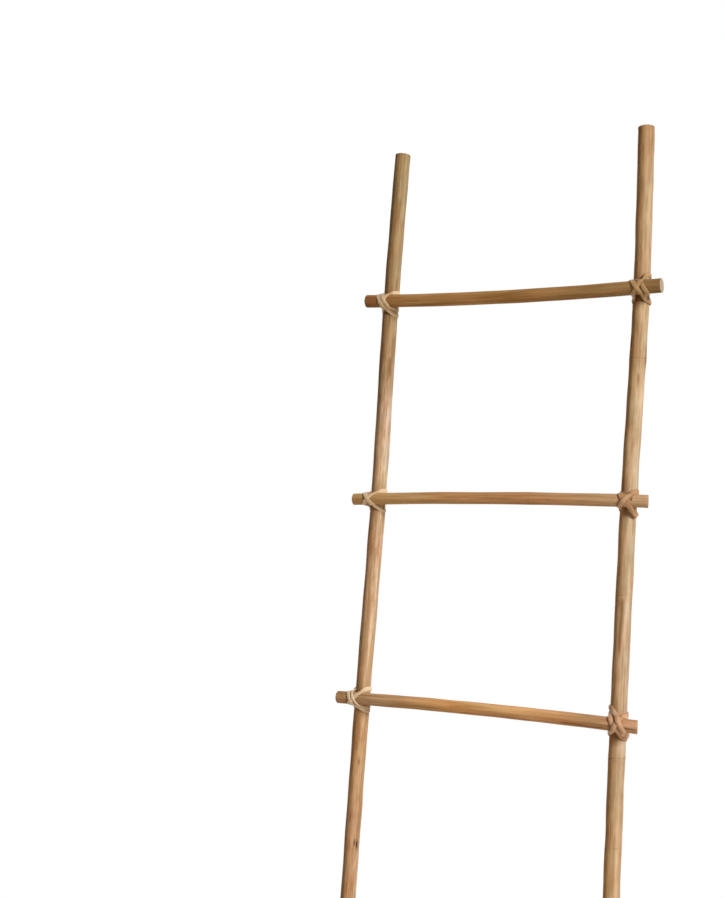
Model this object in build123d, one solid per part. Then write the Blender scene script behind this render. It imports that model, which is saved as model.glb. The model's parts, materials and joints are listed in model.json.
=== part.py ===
from build123d import *
from math import cos, pi, radians, sin, sqrt, tan
import os

# Leaning cane ladder: two poles, five rungs laid across their front, each crossing nailed and
# bound with one strip of split cane. It is drawn flat first, with X to the right along the rungs,
# Y to the back and Z up the poles, and is then leaned back. Millimetres and degrees.

# Poles
POLE_LENGTH = 1846.0  # along the axis, from the floor to the top
POLE_SPACING = 430.0  # axis to axis
POLE_TOP_DIA = 26.0
POLE_FOOT_DIA = 24.0
LEAN = 9.0  # backwards, from upright
STRAIGHT_REACH = 30.0  # the pole is straight this far above and below each rung
END_SOFTENING = 0.8  # rubbed edge of every sawn end
FOOT_SPARE = 5.0  # pole left below the level cut of the foot

# Sideways and depth bows of each pole at its top, at rungs 1 to 5 and at its foot
LEFT_BOWS = [0.4, -1.1, 2.3, -0.7, -1.0, 0.8, 0.0]
RIGHT_BOWS = [-1.1, 2.7, -1.7, -1.4, 1.4, 0.6, 0.0]
LEFT_DEPTHS = [1.2, 0.0, -0.9, 0.3, 1.0, -0.5, 0.0]
RIGHT_DEPTHS = [-0.8, 0.3, 1.0, -0.6, -0.9, 0.6, 0.0]

# Rungs, from the top down: step below the rung above (or the pole top), diameter at mid length,
# rise from the left pole to the right one, and upward bow at mid length
RUNG_STEPS = [265.0, 331.0, 327.0, 350.0, 345.0]
RUNG_DIAS = [22.0, 19.6, 20.0, 20.6, 21.0]
RUNG_TILTS = [-1.6, 4.8, -1.4, 2.0, -2.2]
RUNG_BOWS = [-3.7, 2.5, 2.4, -2.0, 1.6]
RUNG_TAPER = 0.6  # gain in diameter from the left pole to the right one
LEFT_STUB = 33.0  # rung end beyond the left pole's axis
RIGHT_STUB = 39.0
SEAT_GAP = 0.15  # between a rung and the pole behind it

# Nails, driven from the front through each rung into its pole
NAIL_DIA = 2.2
NAIL_LENGTH = 34.0
NAIL_POINT = 3.0
NAIL_TIP_DIA = 0.55
NAIL_HEAD_DIA = 5.0
NAIL_HEAD_THICK = 1.0
NAIL_SINK = 0.5  # head below the rung's surface
NAIL_CLEARANCE = 0.05

# Lashings: a strip of split cane, drawn as a round strand
STRAND_DIA = 3.2
STRAND_GAP = 0.4  # strand to pole and rung
LAYER_GAP = 0.6  # between crossing passes
LASH_SLOPE = 58.0  # of a pass over the rung's face
EDGE_ANGLE = 70.0  # where a pass leaves the rung's round face, from its front line
UNDER_RISE = 16.0  # where the first pass meets the pole's side, above the rung's axis
UNDER_DROP = 18.0  # and below it
OVER_RISE = 17.0  # the same for the passes over it
OVER_DROP = 19.0
PASS_STEP = 9.0  # between two neighbouring passes, at the pole's side
PASS_SHIFT = 6.5  # and along the rung's face
TAIL_SPREAD = 3.0  # how far the two tails part behind the pole
LOOSE_END_OUT = 2.5  # how far a loose cut end stands off the pole's side
LOOSE_END_FORWARD = 4.0  # and in front of the pole's axis
LOOSE_END_SPLAY = 35.0  # its angle outwards
LEFT_CROSS_SHIFT = 1.0  # crossing of the strips, along the rung from the pole's axis
RIGHT_CROSS_SHIFT = 5.5

# Passes over the first one at each rung, left and right
LEFT_OVERS = [2, 1, 2, 2, 1]
RIGHT_OVERS = [2, 1, 2, 1, 2]
LOOSE_END_RUNG = 1  # its right lashing starts with a loose end and crosses the other way

FOOT_ALLOWANCE = POLE_FOOT_DIA * tan(radians(LEAN)) + FOOT_SPARE  # pole drawn below the floor
SELF_GAP_SPAN = 3.0 * STRAND_DIA  # strand length left out beside a point when its gap is measured
SELF_GAP_STEP = 1.0


def rung_height(index):
    return POLE_LENGTH - sum(RUNG_STEPS[: index + 1])


def pole_radius(height):
    return (POLE_FOOT_DIA + (POLE_TOP_DIA - POLE_FOOT_DIA) * height / POLE_LENGTH) / 2


def tangents(points):
    # direction of a smooth line at each of its points: the runs before and after it, the shorter one
    # counting for more
    runs = [end - start for start, end in zip(points, points[1:])]
    before = [runs[0]] + runs
    after = runs + [runs[-1]]
    return [(b / b.length**2 + a / a.length**2).normalized() for b, a in zip(before, after)]


def cane(points, radii):
    sections = []
    for point, along, radius in zip(points, tangents(points), radii):
        sections.append(Plane(point, x_dir=(0, 1, 0), z_dir=along) * Circle(radius))
    return loft(sections)


def pole_points(side, bows, depths):
    # top, rungs 1 to 5, foot
    heights = [POLE_LENGTH] + [rung_height(i) for i in range(len(RUNG_STEPS))] + [-FOOT_ALLOWANCE]
    return [Vector(side * POLE_SPACING / 2 + x, y, z) for x, y, z in zip(bows, depths, heights)]


def rubbed_end(point, outward, radius):
    # sawn end whose edge is rubbed down
    plane = Plane(point, x_dir=(0, 1, 0), z_dir=outward)
    align = Align.CENTER, Align.CENTER, Align.MIN
    return plane * Cone(radius, radius - END_SOFTENING, END_SOFTENING, align=align)


def halfway(start, end, start_aim, end_aim):
    # middle of a smooth bend
    return (start + end) / 2 + (start_aim - end_aim) * ((end - start).length / 8)


def make_pole(points):
    # the pole runs straight where a rung crosses it, and bends evenly between two rungs
    along = tangents(points)
    stations = [points[0] + along[0] * END_SOFTENING]
    for before, point, down in zip(along, points[1:-1], along[1:-1]):
        arrive = point - down * STRAIGHT_REACH
        stations += [halfway(stations[-1], arrive, before, down), arrive, point + down * STRAIGHT_REACH]
    stations += [halfway(stations[-1], points[-1], along[-2], along[-1]), points[-1]]
    radii = [pole_radius(point.Z) for point in stations]
    top = tangents(stations)[0] * -1
    return cane(stations, radii) + rubbed_end(stations[0], top, radii[0])


class Crossing:
    # one rung on one pole: the pole's axis point, both radii, and the local directions

    def __init__(self, pole, index, tilt, rung_dia):
        self.up = tangents(pole)[index + 1] * -1
        step = tilt / self.up.Z
        self.centre = pole[index + 1] + self.up * step
        self.pole_radius = pole_radius(self.centre.Z)
        self.rung_radius = rung_dia / 2
        self.stand = self.pole_radius + self.rung_radius + SEAT_GAP
        self.rung_point = self.centre + Vector(0, -self.stand, 0)
        self.along = Vector(1, 0, 0)

    def place(self, x, y, z):
        back = self.up.cross(self.along).normalized()
        return self.centre + self.along * x + back * y + self.up * z

    def aim(self, x, y, z):
        return (self.place(x, y, z) - self.centre).normalized()


class Rung:
    # axis of one rung through its two crossings, with its bow

    def __init__(self, left_pole, right_pole, index):
        tilt = RUNG_TILTS[index] / 2
        dia = RUNG_DIAS[index]
        self.bow = RUNG_BOWS[index]
        self.left = Crossing(left_pole, index, -tilt, dia - RUNG_TAPER / 2)
        self.right = Crossing(right_pole, index, tilt, dia + RUNG_TAPER / 2)
        self.span = self.right.rung_point - self.left.rung_point
        self.left.along = (self.point(0.05) - self.point(-0.05)).normalized()
        self.right.along = (self.point(1.05) - self.point(0.95)).normalized()

    def point(self, share):
        lift = 4 * self.bow * share * (1 - share)
        return self.left.rung_point + self.span * share + Vector(0, 0, lift)

    def radius(self, share):
        return self.left.rung_radius + (self.right.rung_radius - self.left.rung_radius) * share

    def solid(self):
        left_end = (END_SOFTENING - LEFT_STUB) / self.span.X
        right_end = 1 + (RIGHT_STUB - END_SOFTENING) / self.span.X
        shares = [left_end, 0, 0.25, 0.5, 0.75, 1, right_end]
        points = [self.point(share) for share in shares]
        radii = [self.radius(share) for share in shares]
        along = tangents(points)
        body = cane(points, radii)
        body += rubbed_end(points[0], along[0] * -1, radii[0])
        return body + rubbed_end(points[-1], along[-1], radii[-1])


def nail_front(crossing):
    # middle of the nail head's face
    return crossing.place(0, -crossing.stand - crossing.rung_radius + NAIL_SINK, 0)


def nail_plane(crossing):
    return Plane(nail_front(crossing), x_dir=(1, 0, 0), z_dir=crossing.aim(0, 1, 0))


def make_nail(crossing):
    start = Align.CENTER, Align.CENTER, Align.MIN
    shank = NAIL_LENGTH - NAIL_POINT
    head = Cylinder(NAIL_HEAD_DIA / 2, NAIL_HEAD_THICK, align=start)
    stem = Cylinder(NAIL_DIA / 2, shank, align=start)
    point = Pos(0, 0, shank) * Cone(NAIL_DIA / 2, NAIL_TIP_DIA / 2, NAIL_POINT, align=start)
    return nail_plane(crossing) * (head + stem + point)


def nail_hole(crossing):
    # stepped hole for the nail, open to the rung's front
    start = Align.CENTER, Align.CENTER, Align.MIN
    mouth = crossing.rung_radius
    head = Cylinder(
        NAIL_HEAD_DIA / 2 + NAIL_CLEARANCE, mouth + NAIL_HEAD_THICK + NAIL_CLEARANCE, align=start
    )
    stem = Cylinder(NAIL_DIA / 2 + NAIL_CLEARANCE, mouth + NAIL_LENGTH + NAIL_CLEARANCE, align=start)
    return nail_plane(crossing) * Pos(0, 0, -mouth) * (head + stem)


class Strand:
    # the winding of one crossing, as points with directions, in the crossing's own frame

    def __init__(self, crossing):
        self.crossing = crossing
        self.wrap = crossing.pole_radius + STRAND_GAP + STRAND_DIA / 2
        self.nodes = []

    def add(self, point, aim):
        self.nodes.append((self.crossing.place(*point), self.crossing.aim(*aim), point))

    def front_pass(self, hand, layer, rise, drop, shift, downward):
        # from one side of the pole, across the rung's face and down (or up) to the other side;
        # hand is 1 for a pass whose upper end is on the right
        round_rung = self.crossing.rung_radius + STRAND_GAP + STRAND_DIA / 2
        round_rung += layer * (STRAND_DIA + LAYER_GAP)
        drift = hand / tan(radians(LASH_SLOPE))
        steps = [((hand * self.wrap, 0, rise), (0, -1, 0))]
        for angle in (EDGE_ANGLE, 0, -EDGE_ANGLE):
            turn = radians(angle)
            x = shift + drift * round_rung * turn
            y = -self.crossing.stand - round_rung * cos(turn)
            z = round_rung * sin(turn)
            steps.append(((x, y, z), (-drift, -sin(turn), -cos(turn))))
        steps.append(((-hand * self.wrap, 0, -drop), (0, 1, 0)))
        if not downward:
            steps = [(point, tuple(-part for part in aim)) for point, aim in reversed(steps)]
        return steps

    def follow(self, steps):
        for point, aim in steps:
            self.add(point, aim)

    def loose_end(self, drop):
        # straight cut end that stands off the pole's right side
        splay = radians(LOOSE_END_SPLAY)
        aim = (-sin(splay), -cos(splay), sin(splay))
        self.tail(aim, (self.wrap + LOOSE_END_OUT, -LOOSE_END_FORWARD, -drop), -STRAND_DIA, 0)

    def behind(self, height_to):
        # half turn behind the pole, from the last point to the other side at another height
        x, _, height = self.nodes[-1][2]
        self.add((0, self.wrap, (height + height_to) / 2), (-2 * x, 0, height_to - height))

    def tail_in(self, side, height, lift):
        # straight cut end behind the pole, then a quarter turn to its side
        self.tail((side * self.wrap, 0, -lift), (0, self.wrap, height + lift), -STRAND_DIA, 0)

    def tail_out(self, lift):
        x, _, height = self.nodes[-1][2]
        self.tail((-x, 0, lift), (0, self.wrap, height + lift), 0, STRAND_DIA)

    def tail(self, aim, turn_end, before, after):
        size = sqrt(sum(part**2 for part in aim))
        for run in (before, after):
            self.add(tuple(p + a / size * run for p, a in zip(turn_end, aim)), aim)

    def edges(self):
        made = []
        for (start, aim, _), (end, end_aim, _) in zip(self.nodes, self.nodes[1:]):
            chord = end - start
            if aim.cross(chord).length < 1e-6:
                made.append(Edge.make_line(start, end))
                continue
            # two arcs that share their tangent where they meet
            spread = 2 * (1 - aim.dot(end_aim))
            lean = chord.dot(aim + end_aim)
            reach = (sqrt(lean**2 + spread * chord.dot(chord)) - lean) / spread
            middle = (start + end + (aim - end_aim) * reach) / 2
            first = Edge.make_tangent_arc(start, aim, middle)
            made.append(first)
            made.append(Edge.make_tangent_arc(middle, first % 1, end))
        return made


def wind(crossing, overs, shift, loose):
    # under pass first, then the passes over it; a loose winding starts at its cut end, low on the right
    strand = Strand(crossing)
    if loose:
        strand.loose_end(OVER_DROP)
        strand.follow(strand.front_pass(-1, 0, UNDER_RISE, OVER_DROP, shift, downward=False)[1:])
        strand.behind(OVER_RISE)
        strand.follow(strand.front_pass(1, 1, OVER_RISE, UNDER_DROP, shift, downward=True))
        strand.tail_out(-TAIL_SPREAD)
        return strand
    strand.tail_in(1, UNDER_RISE, -TAIL_SPREAD)
    strand.follow(strand.front_pass(1, 0, UNDER_RISE, UNDER_DROP, shift, downward=True))
    for turn in range(overs):
        place = turn - (overs - 1) / 2
        rise = OVER_RISE + PASS_STEP * place
        drop = OVER_DROP - PASS_STEP * place
        strand.behind(-drop)
        strand.follow(strand.front_pass(-1, 1, rise, drop, shift + PASS_SHIFT * place, downward=False))
    strand.tail_out(TAIL_SPREAD)
    return strand


def least_self_gap(path):
    # smallest clear space between two stretches of the strand, measured on points along it
    count = int(path.length / SELF_GAP_STEP)
    points = [path @ (i / count) for i in range(count + 1)]
    apart = int(SELF_GAP_SPAN / SELF_GAP_STEP)
    gaps = []
    for i, point in enumerate(points):
        for other in points[i + apart :]:
            gaps.append((point - other).length)
    return min(gaps) - STRAND_DIA


def make_lashing(name, crossing, overs, shift, loose):
    path = Wire(wind(crossing, overs, shift, loose).edges())
    section = Plane(path @ 0, z_dir=path % 0) * Circle(STRAND_DIA / 2)
    solid = sweep(section, path=path)
    expected = pi * STRAND_DIA**2 / 4 * path.length
    print(
        f"{name}: strand {path.length:.0f} mm, volume {solid.volume / expected:.4f} of section times length,"
        f" least gap to itself {least_self_gap(path):.2f} mm"
    )
    return solid


def build():
    left_points = pole_points(-1, LEFT_BOWS, LEFT_DEPTHS)
    right_points = pole_points(1, RIGHT_BOWS, RIGHT_DEPTHS)
    parts = {"left_pole": make_pole(left_points), "right_pole": make_pole(right_points)}
    for index in range(len(RUNG_STEPS)):
        rung = Rung(left_points, right_points, index)
        number = index + 1
        parts["left_pole"] -= nail_hole(rung.left)
        parts["right_pole"] -= nail_hole(rung.right)
        parts[f"rung_{number}"] = rung.solid() - nail_hole(rung.left) - nail_hole(rung.right)
        parts[f"rung_{number}_nails"] = Compound(
            [solid for side in (rung.left, rung.right) for solid in make_nail(side).solids()]
        )
        left_name = f"lashing_{number}_left"
        parts[left_name] = make_lashing(left_name, rung.left, LEFT_OVERS[index], LEFT_CROSS_SHIFT, False)
        right_name = f"lashing_{number}_right"
        loose = index == LOOSE_END_RUNG
        parts[right_name] = make_lashing(right_name, rung.right, RIGHT_OVERS[index], RIGHT_CROSS_SHIFT, loose)
    return parts


def lean_back(parts):
    # lean the ladder, cut its feet level with the floor and centre it over the origin
    leaned = {name: Rot(X=-LEAN) * part for name, part in parts.items()}
    for name in ("left_pole", "right_pole"):
        leaned[name] = split(leaned[name], bisect_by=Plane.XY, keep=Keep.TOP)
    box = Compound(list(leaned.values())).bounding_box()
    centring = Pos(-box.center().X, -box.center().Y, 0)
    print(f"centred by X {-box.center().X:.3f}, Y {-box.center().Y:.3f}; size {box.size}")
    return {name: centring * part for name, part in leaned.items()}


os.makedirs("parts", exist_ok=True)
for name, part in lean_back(build()).items():
    export_step(part, f"parts/{name}.step")
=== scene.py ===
import bpy
import json
import math
import numpy as np
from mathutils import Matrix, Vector

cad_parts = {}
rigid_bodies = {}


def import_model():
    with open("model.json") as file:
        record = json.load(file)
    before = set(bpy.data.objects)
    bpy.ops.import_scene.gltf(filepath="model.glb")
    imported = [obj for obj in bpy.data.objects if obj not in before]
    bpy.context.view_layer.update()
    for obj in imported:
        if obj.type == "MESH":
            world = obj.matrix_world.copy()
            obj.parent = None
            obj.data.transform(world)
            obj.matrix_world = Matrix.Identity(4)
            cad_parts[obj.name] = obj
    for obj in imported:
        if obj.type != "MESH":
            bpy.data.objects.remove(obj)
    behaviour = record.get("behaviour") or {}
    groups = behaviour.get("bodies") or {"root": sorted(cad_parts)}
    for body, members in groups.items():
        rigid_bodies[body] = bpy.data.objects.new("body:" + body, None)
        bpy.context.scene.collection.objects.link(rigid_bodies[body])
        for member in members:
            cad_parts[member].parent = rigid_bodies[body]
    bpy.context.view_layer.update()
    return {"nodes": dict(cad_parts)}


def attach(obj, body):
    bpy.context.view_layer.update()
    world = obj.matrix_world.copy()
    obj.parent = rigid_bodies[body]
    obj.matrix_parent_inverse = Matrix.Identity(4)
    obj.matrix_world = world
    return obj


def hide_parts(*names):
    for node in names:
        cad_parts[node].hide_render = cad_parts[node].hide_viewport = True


mm = 0.001

for leftOver in list(bpy.data.objects):
    bpy.data.objects.remove(leftOver)
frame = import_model()
print("frame loaded,", len(frame["nodes"]), "nodes")


# shader expressions

class Wire:
    # one output socket; the operators add Math nodes
    def __init__(self, graph, socket):
        self.graph = graph
        self.socket = socket

    def maths(self, operation, first, second):
        return self.graph.node("Math", {"operation": operation}, {0: first, 1: second})

    def __add__(self, other):
        return self.maths("ADD", self, other)

    def __radd__(self, other):
        return self.maths("ADD", other, self)

    def __sub__(self, other):
        return self.maths("SUBTRACT", self, other)

    def __rsub__(self, other):
        return self.maths("SUBTRACT", other, self)

    def __mul__(self, other):
        return self.maths("MULTIPLY", self, other)

    def __rmul__(self, other):
        return self.maths("MULTIPLY", other, self)

    def most(self, other):
        return self.maths("MAXIMUM", self, other)

    def swing(self, size):
        # noise lies about a half; this swings about zero
        return (self - 0.5) * size

    def between(self, low, high):
        # 0 at low, 1 at high, eased
        return self.graph.node("MapRange", {"interpolation_type": "SMOOTHSTEP"},
                               {"Value": self, "From Min": low, "From Max": high})


class Graph:
    # the nodes of a material or of the world
    def __init__(self, owner):
        owner.use_nodes = True
        self.tree = owner.node_tree
        self.tree.nodes.clear()

    def node(self, kind, settings, sockets, output=0):
        made = self.tree.nodes.new("ShaderNode" + kind)
        for key, value in settings.items():
            if key == "stops":
                self.setStops(made.color_ramp.elements, value)
            else:
                setattr(made, key, value)
        for key, value in sockets.items():
            if isinstance(value, Wire):
                self.tree.links.new(value.socket, made.inputs[key])
            else:
                made.inputs[key].default_value = value
        return Wire(self, made.outputs[output]) if made.outputs else None

    def setStops(self, elements, stops):
        while len(elements) < len(stops):
            elements.new(1.0)
        for element, (place, colour) in zip(elements, stops):
            element.position = place
            element.color = written(colour)

    def attribute(self, name, output="Fac"):
        return self.node("Attribute", {"attribute_name": name}, {}, output)

    def product(self, first, second):
        # part by part, for colours and places
        return self.node("VectorMath", {"operation": "MULTIPLY"}, {0: first, 1: second})

    def noise(self, place, stretch, seed, detail):
        return self.node("TexNoise", {"noise_dimensions": "4D"}, {
            "Vector": self.product(place, stretch), "W": seed, "Scale": 1.0, "Detail": detail})

    def mixed(self, share, first, second):
        # inputs 6 and 7 and output 2 are a Mix node's colours
        return self.node("Mix", {"data_type": "RGBA"}, {0: share, 6: first, 7: second}, 2)

    def bumped(self, height, strength, depth):
        return self.node("Bump", {}, {"Height": height, "Strength": strength, "Distance": depth})

    def surface(self, sockets):
        shader = self.node("BsdfPrincipled", {}, sockets)
        self.node("OutputMaterial", {}, {"Surface": shader})


def written(code):
    # a written sRGB colour as linear values
    parts = [int(code[i:i + 2], 16) / 255 for i in (0, 2, 4)]
    return tuple(p / 12.92 if p <= 0.04045 else ((p + 0.055) / 1.055) ** 2.4 for p in parts) + (1.0,)


# canes: poles and rungs

canePlan = {
    "sides": 72,
    "step": 3.5 * mm,
    "nearRing": 0.6 * mm,  # step beside a node ring
    "ringReach": 6 * mm,
    "knotReach": 2.5,  # half lengths of a knot
    "knotSteps": 4,  # in a half length
    "leastStep": 0.02 * mm,
    "rubbed": 0.5 * mm,  # softened edge of a sawn end
    "rubbedRings": 5,
    "plainEnd": 8 * mm,  # relief fades out over this
    "capRings": [0.985, 0.95, 0.88, 0.78, 0.66, 0.52, 0.38, 0.24, 0.11],  # shares of the radius
    "sawRough": 0.05 * mm,
    "sunk": 0.12 * mm,  # skin below the CAD surface, so that lumps stay about on it
    "levelRounds": 4,  # of fitting a foot to the floor
    "slices": 60,  # of the CAD mesh
    "sliceHalf": 6 * mm,
    "skinDepth": 0.5 * mm,  # what is further from a slice's circle isn't skin
}


class CaneLine:
    # middle line and radius of a CAD cane, from circles fitted to slices of its mesh
    def __init__(self, node, looks):
        mesh = frame["nodes"][node].data
        points = np.empty(len(mesh.vertices) * 3, np.float32)
        mesh.vertices.foreach_get("co", points)
        points = points.reshape(-1, 3).astype(float)
        self.origin = points.mean(0)
        way = np.linalg.svd(points - self.origin, full_matrices=False)[2][0]
        self.way = way * np.sign(way @ np.array(looks["toward"], float))
        side = np.array(looks["facing"], float)
        side -= self.way * (side @ self.way)
        self.side = side / np.linalg.norm(side)
        self.other = np.cross(self.way, self.side)
        self.measure(points - self.origin, looks["bends"])

    def measure(self, points, bends):
        s, u, v = (points @ axis for axis in (self.way, self.side, self.other))
        half = canePlan["sliceHalf"]
        places = np.linspace(s.min() + 2 * half, s.max() - 2 * half, canePlan["slices"])
        found = []
        for place in places:
            near = abs(s - place) < half
            found.append(self.circle(u[near], v[near]))
        fit = np.polynomial.Chebyshev.fit
        self.u, self.v, self.radius = (fit(places, values, bends) for values in np.array(found).T)
        self.du, self.dv = self.u.deriv(), self.v.deriv()
        self.start = self.squareEnd(s.min(), 1)
        self.end = self.squareEnd(s.max(), -1)

    def circle(self, u, v):
        middleU, middleV = (u.max() + u.min()) / 2, (v.max() + v.min()) / 2
        radius = (np.ptp(u) + np.ptp(v)) / 4
        skin = abs(np.hypot(u - middleU, v - middleV) - radius) < canePlan["skinDepth"]
        u, v = u[skin], v[skin]
        rows = np.column_stack([2 * u, 2 * v, np.ones_like(u)])
        a, b, c = np.linalg.lstsq(rows, u * u + v * v, rcond=None)[0]
        return a, b, math.sqrt(c + a * a + b * b)

    def squareEnd(self, tip, inward):
        # the tip is the far edge of an end sawn square to the local line
        lean = math.hypot(self.du(tip), self.dv(tip))
        return tip + inward * self.radius(tip) * lean

    def frameAt(self, s):
        # points on the middle line, with its direction and two square directions
        s = np.asarray(s, float)[..., None]
        point = self.origin + self.way * s + self.side * self.u(s) + self.other * self.v(s)
        along = self.way + self.side * self.du(s) + self.other * self.dv(s)
        along /= np.linalg.norm(along, axis=-1, keepdims=True)
        first = self.side - along * (along @ self.side)[..., None]
        first /= np.linalg.norm(first, axis=-1, keepdims=True)
        return point, along, first, np.cross(along, first)


def bell(x):
    return np.exp(-x * x)


def humps(x, shapes):
    # bells added up, each with its height, place and half width
    return sum(high * bell((x - place) / wide) for high, place, wide in shapes)


def fadeIn(x):
    x = np.clip(x, 0, 1)
    return x * x * (3 - 2 * x)


def around(turn, degrees):
    # signed angle from a direction, from -pi to pi
    return (turn - math.radians(degrees) + math.pi) % (2 * math.pi) - math.pi


reliefPlan = {
    "lumps": {
        "phases": 12,  # drawn at once
        "oval": 0.007,  # share of the radius
        "twist": 2.1,  # of the oval, in radians in a metre
        "high": 0.16 * mm,
        "orders": (0, 1, 1, 2, 3),  # waves round the cane
        "ease": 0.4,  # lower with each of those
        "lengths": (60, 190),  # mm, shortest and longest
    },
    "ring": {  # lengths in mm
        "lean": 1.3,
        "wobble": 0.35,
        "profile": [(0.5, 0, 11), (-0.32, 0, 0.8), (0.16, 2, 1.2)],  # swelling, groove and lip
        "line": 1.0,  # half width of the dark line
        "unbroken": 0.5,  # its share all round, with breaks more or less
        "breaks": 0.6,
        "stains": [(0.22, 7, 9), (-0.22, -9, 10)],  # brown past the ring, pale before it
    },
    "knot": {
        "profile": [(0.25, 1.5, 0.5), (-0.45, 0, 1)],  # rim and pit: mm high, then in the knot's half widths
        "mottle": 0.25,
    },
    "streak": {
        "wander": 0.2,  # half widths
        "wanderLength": 14 * mm,
        "fadeTop": 10 * mm,
        "fadeBottom": 22 * mm,
    },
    "crack": {
        "wander": [(0.5, 6 * mm), (0.3, 2.3 * mm)],  # mm to the sides, length
        "fade": 4 * mm,
        "deep": 0.6,  # mm, and so are the half widths
        "wide": 0.7,
        "darkWide": 0.8,
    },
}


class Relief:
    # what stands proud of or below a plain cane, with masks for its colour
    def __init__(self, place, turn, radius, looks):
        self.place, self.turn, self.radius = place, turn, radius
        self.height = np.zeros_like(place)
        self.scar = np.zeros_like(place)
        self.stain = np.zeros_like(place)
        self.draws = np.random.default_rng(looks["seed"])
        self.lumps(looks["lumpy"], reliefPlan["lumps"])
        for below, strength in looks["rings"]:
            self.ring(below * mm, strength, reliefPlan["ring"])
        for below, degrees, long, wide, strength in looks["knots"]:
            self.knot(below * mm, degrees, long * mm, wide * mm, strength, reliefPlan["knot"])
        for top, bottom, degrees, wide, strength in looks["streaks"]:
            self.streak(top * mm, bottom * mm, degrees, wide * mm, strength, reliefPlan["streak"])
        for top, bottom, degrees, strength in looks["cracks"]:
            self.crack(top * mm, bottom * mm, degrees, strength, reliefPlan["crack"])

    def lumps(self, lumpy, plan):
        phase = self.draws.uniform(0, 2 * math.pi, plan["phases"])
        twisted = 2 * self.turn + phase[0] + plan["twist"] * self.place
        self.height += self.radius * plan["oval"] * np.cos(twisted)
        for i, order in enumerate(plan["orders"], 1):
            wave = 2 * math.pi / (self.draws.uniform(*plan["lengths"]) * mm)
            lump = lumpy * plan["high"] / (1 + plan["ease"] * order)
            self.height += lump * np.cos(order * self.turn + wave * self.place + phase[i])

    def ring(self, below, strength, plan):
        # leaf scar: a swelling with a thin broken line round it
        lean, first, second = self.draws.uniform(0, 2 * math.pi, 3)
        away = (self.place - below) / mm + plan["lean"] * np.cos(self.turn - lean)
        away += plan["wobble"] * np.cos(3 * self.turn + first)
        self.height += strength * mm * humps(away, plan["profile"])
        breaks = plan["breaks"] * np.cos(2 * self.turn + second) * np.cos(5 * self.turn + first)
        line = (plan["unbroken"] + breaks).clip(0, 1) * bell(away / plan["line"])
        self.scar = np.maximum(self.scar, strength * line)
        self.stain += strength * humps(away, plan["stains"])

    def knot(self, below, degrees, long, wide, strength, plan):
        # bud scar: a dark pit with a raised rim; the one on rung 2 at 472 mm is painted shade of a gap
        # between strips
        a = (self.place - below) / long
        b = self.radius * around(self.turn, degrees) / wide
        far = np.hypot(a, b)
        self.height += strength * mm * humps(far, plan["profile"])
        mottled = 1 - plan["mottle"] + plan["mottle"] * np.cos(4 * b + a)
        self.scar = np.maximum(self.scar, strength * bell(far) * mottled)

    def streak(self, top, bottom, degrees, wide, strength, plan):
        # lengthwise stain, brown above zero and pale below it; also used for painted shadows below the rungs
        below, above = self.place - top, bottom - self.place
        b = self.radius * around(self.turn, degrees) / wide
        b += plan["wander"] * np.sin(below / plan["wanderLength"])
        ends = fadeIn(below / plan["fadeTop"]) * fadeIn(above / plan["fadeBottom"])
        self.stain += strength * bell(b) * ends

    def crack(self, top, bottom, degrees, strength, plan):
        # split along the fibres
        below, above = self.place - top, bottom - self.place
        wander = sum(size * np.sin(below / length) for size, length in plan["wander"])
        b = self.radius * around(self.turn, degrees) / mm + wander
        ends = fadeIn(below / plan["fade"]) * fadeIn(above / plan["fade"])
        self.height -= plan["deep"] * strength * mm * bell(b / plan["wide"]) * ends
        self.scar = np.maximum(self.scar, strength * bell(b / plan["darkWide"]) * ends)


def stationsOf(length, looks):
    # distances from the start, closer at node rings, knots and ends
    rubbed = canePlan["rubbed"]
    rim = rubbed * (1 - np.cos(np.linspace(0, math.pi / 2, canePlan["rubbedRings"])))
    parts = [rim, length - rim, np.arange(rubbed * 2, length - rubbed * 2, canePlan["step"])]
    closer = [(below * mm, canePlan["ringReach"], canePlan["nearRing"]) for below, strength in looks["rings"]]
    for below, degrees, long, wide, strength in looks["knots"]:
        half = long * mm
        closer.append((below * mm, canePlan["knotReach"] * half, half / canePlan["knotSteps"]))
    parts += [np.arange(middle - reach, middle + reach, step) for middle, reach, step in closer]
    kept = [0.0]
    for place in np.unique(np.concatenate(parts).clip(0, length)):
        if place - kept[-1] > canePlan["leastStep"]:
            kept.append(place)
    return np.array(kept)


def addMesh(name, points, faces, masks, finish):
    mesh = bpy.data.meshes.new(name)
    mesh.from_pydata(points.tolist(), [], faces)
    for mask, values in masks.items():
        kind, field = ("FLOAT_VECTOR", "vector") if values.ndim == 2 else ("FLOAT", "value")
        layer = mesh.attributes.new(mask, kind, "POINT")
        layer.data.foreach_set(field, values.astype(np.float32).ravel())
    mesh.polygons.foreach_set("use_smooth", [True] * len(mesh.polygons))
    mesh.materials.append(finish)
    mesh.update()
    piece = bpy.data.objects.new(name, mesh)
    bpy.context.scene.collection.objects.link(piece)
    return piece


def bandFaces(first, second, sides):
    # quads between two rings of points, from the numbers of the rings' first points
    return [(first + i, first + (i + 1) % sides, second + (i + 1) % sides, second + i) for i in range(sides)]


def tubeFaces(rows, sides):
    return [face for k in range(rows - 1) for face in bandFaces(k * sides, (k + 1) * sides, sides)]


def spokes(turn, first, second):
    # straight out of the middle line
    return np.cos(turn)[..., None] * first + np.sin(turn)[..., None] * second


def levelEnds(line, turn, ends):
    # each line of a foot ends on the floor
    for again in range(canePlan["levelRounds"]):
        point, along, first, second = line.frameAt(ends)
        rim = line.radius(ends) - canePlan["rubbed"] - canePlan["sunk"]
        edge = point + rim[..., None] * spokes(turn, first, second)
        ends = ends - edge[..., 2] / along[..., 2]
    return ends


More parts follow.
